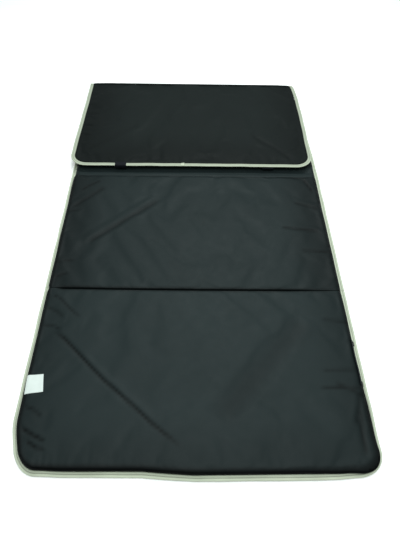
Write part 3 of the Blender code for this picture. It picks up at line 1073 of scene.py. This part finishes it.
def band(name, path, across, width, thickness, look):
    """A woven band of rounded section along a path of points, across one direction."""
    path, across = np.array(path, float), np.array(across, float)
    along = np.gradient(path, axis=0)
    along /= np.linalg.norm(along, axis=1, keepdims=True)
    normals = np.cross(along, across)
    edge = [(-0.5, 0.0), (-0.485, 0.42), (-0.44, 0.5), (0.44, 0.5), (0.485, 0.42), (0.5, 0.0),
            (0.485, -0.42), (0.44, -0.5), (-0.44, -0.5), (-0.485, -0.42)]
    loops = [path + across * width * a + normals * thickness * b for a, b in edge]
    return swept(name, np.stack(loops, axis=1), look)


def soft_path(points, count=40):
    """Points of a smooth curve that runs close by the given ones."""
    points = np.array(points, float)
    lengths = np.concatenate([[0], np.cumsum(np.linalg.norm(np.diff(points, axis=0), axis=1))])
    fine = np.linspace(0, lengths[-1], count)
    line = np.column_stack([np.interp(fine, lengths, points[:, axis]) for axis in range(3)])
    for _ in range(6):
        line[1:-1] = (line[:-2] + 2 * line[1:-1] + line[2:]) / 4
    return line


def make_straps(looks):
    for side in ("left", "right"):
        low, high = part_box(f"strap_{side}")
        middle, width = (low.x + high.x) / 2, high.x - low.x
        front = (low.y + high.y) / 2
        tape_top = 2 * THICKNESS - TAPE_LOW
        seam = front + TAPE_WIDTH + 0.003
        if side == "left":     # sewn over the tape
            profile = [(seam + 0.003, tape_top - 0.001), (seam, tape_top + 0.0012),
                       (front + 0.002, tape_top + 0.0012), (front - 0.0006, tape_top - 0.0006),
                       (front, tape_top - 0.004), (front, low.z)]
        else:                  # sewn in under the tape
            profile = [(seam, tape_top - 0.0055), (front + 0.003, tape_top - 0.0050),
                       (front - 0.0004, tape_top - 0.0060), (front, tape_top - 0.009), (front, low.z)]
        points = [(middle, y, z) for y, z in profile]
        strap = band(f"webbing_strap_{side}", soft_path(points), (1, 0, 0), width, 0.0013, looks["webbing"])
        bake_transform(strap)
        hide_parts(f"strap_{side}")


def make_handle(looks):
    """The carry handle: its band lies along the side wall, and its sewn ends cross the tape."""
    low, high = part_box("carry_handle")
    hinge = Vector(JOINTS["handle_swing"]["pos_m"])
    foot, top = (hinge.x, hinge.z), (low.x, high.z)
    middle = [(foot[0] + top[0]) / 2 + 0.0012, (foot[1] + top[1]) / 2]
    slope = np.array([top[0] - foot[0], 0, top[1] - foot[1]])
    width = float(np.linalg.norm(slope))
    ys = np.linspace(low.y, high.y, 40)
    path = [(middle[0] + 0.0006 * math.sin((y - low.y) * 60), y, middle[1]) for y in ys]
    strap = band("webbing_handle", path, slope / width, width, 0.0014, looks["webbing"])
    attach(strap, "handle")
    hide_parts("carry_handle")
    end_width = 0.013
    for name, y in (("near", low.y + end_width / 2), ("far", high.y - end_width / 2)):
        points = [(foot[0] - 0.0014, y, foot[1] - 0.0016), (foot[0] + 0.0006, y, TAPE_HIGH + 0.0005),
                  (HALF - 0.0088, y, TAPE_HIGH + 0.0005), (HALF - 0.0074, y, TAPE_HIGH - 0.0012)]
        end = band(f"handle_end_{name}", soft_path(points, 30), (0, 1, 0), end_width, 0.0012,
                   looks["webbing"])
        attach(end, "panel_1")


# The label's corners as it lies: seam end and free end of its near edge, then of its far edge
LABEL_CORNERS = ((-0.3850, -0.5300), (-0.3430, -0.5245), (-0.3880, -0.4835), (-0.3500, -0.4815))


def make_label(looks):
    """The blank care label: out of the seam, up the wall and onto the panel, a little askew."""
    cover = BVHTree.FromObject(bpy.data.objects["pocket_1"], bpy.context.evaluated_depsgraph_get())
    near_seam, near_free, far_seam, far_free = (np.array(corner) for corner in LABEL_CORNERS)
    along = np.linspace(0, 1, 46)
    seam = JOINTS["label_lift"]["pos_m"][2] - LABEL_LIFT
    rows = []
    for across in np.linspace(0, 1, 22):
        start = near_seam + across * (far_seam - near_seam)
        end = near_free + across * (far_free - near_free)
        places = start + along[:, None] * (end - start)
        ground = np.array([drop_onto(cover, x, y, seam) for x, y in places])
        height = ground.copy()
        for _ in range(12):
            height[1:-1] = np.maximum((height[:-2] + 2 * height[1:-1] + height[2:]) / 4, ground[1:-1])
        curl = 0.0007 * smooth((along - 0.72) / 0.28)
        rows.append(np.column_stack([places, height + curl + LABEL_LIFT]))
    rows = np.array(rows)[::-1]
    label = sheet_mesh("care_label_cloth", rows, LABEL_CLOTH, looks["label"], np.ones(rows.shape[:2]),
                       laid=True)
    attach(label, "label")
    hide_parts("care_label")


def drop_onto(cover, x, y, lowest):
    """The height of the cover under a place, and no less than the lowest allowed."""
    hit = cover.ray_cast(Vector((x, y, ABOVE)), Vector((0, 0, -1)))[0]
    return max(hit.z, lowest) if hit else lowest


# ---------------------------------------------------------------- stage, light and camera

DAYLIGHT = (0.90, 1.0, 0.985)


def make_stage():
    size = 6.0
    pale = Nodes("floor", (0.95, 0.93, 0.93), 0.9)
    pale.shader.inputs["Emission Color"].default_value = (1, 1, 1, 1)
    pale.shader.inputs["Emission Strength"].default_value = 0.15
    floor = mesh_object("floor", [(-size, -size, 0), (size, -size, 0), (size, size, 0), (-size, size, 0)],
                        [(0, 1, 2, 3)], [pale.material], flat=True)
    floor.location.z = -0.0004


def area_light(name, place, aim, size, power):
    light = bpy.data.lights.new(name, "AREA")
    light.shape, light.size, light.energy, light.color = "DISK", size, power, DAYLIGHT
    lamp = new_object(name, light)
    lamp.location = place
    lamp.rotation_euler = (Vector(aim) - Vector(place)).to_track_quat("-Z", "Y").to_euler()


def make_light():
    scene = bpy.context.scene
    scene.view_settings.view_transform = "Standard"
    world = bpy.data.worlds.new("studio")
    world.use_nodes = True
    world.node_tree.nodes["Background"].inputs["Color"].default_value = (*DAYLIGHT, 1)
    world.node_tree.nodes["Background"].inputs["Strength"].default_value = 0.42
    scene.world = world
    area_light("key", (0.14, 1.0, 1.8), (0.05, 0, 0), 0.9, 26)
    area_light("fill", (0.1, -0.5, 2.2), (0, 0, 0), 1.6, 36)


def make_camera():
    """The camera stands over the near end and looks down the mattress, with a slight turn and roll."""
    yaw, pitch, roll = math.radians(1.5), math.radians(53.07), math.radians(1.57)
    forward = Vector((math.sin(yaw) * math.cos(pitch), math.cos(yaw) * math.cos(pitch), -math.sin(pitch)))
    right = Vector((math.cos(yaw), -math.sin(yaw), 0))
    up = right.cross(forward)
    right, up = (math.cos(roll) * right + math.sin(roll) * up,
                 math.cos(roll) * up - math.sin(roll) * right)
    data = bpy.data.cameras.new("camera")
    data.lens = 30.66
    camera = new_object("camera", data)
    place = Vector((-0.0074, -0.9414, 1.0243))
    camera.matrix_world = Matrix((*zip(right, up, -forward, place), (0, 0, 0, 1)))
    bpy.context.scene.camera = camera


make_camera()
looks = {
    "upper": cover_cloth("cover_cloth", (0.0128, 0.0190, 0.0197), gloss=0.10),
    "lower": cover_cloth("lower_cover_cloth", (0.0066, 0.0092, 0.0089), gloss=0.08),
    # The side wall's cloth is a darker, less glossy copy of the cover cloth: painted shade
    "wall": cover_cloth("side_wall_cloth", (0.0060, 0.0095, 0.0105), gloss=0.05),
    "tape": edge_tape(),
    "thread": thread("tape_thread", (0.40, 0.40, 0.31)),
    "webbing": webbing(),
    "label": label_cloth(),
    "foam": foam(),
}
make_pockets(looks)
make_foam(looks)
make_folds(looks)
make_tape(looks)
make_straps(looks)
make_handle(looks)
make_label(looks)
make_stage()
make_light()
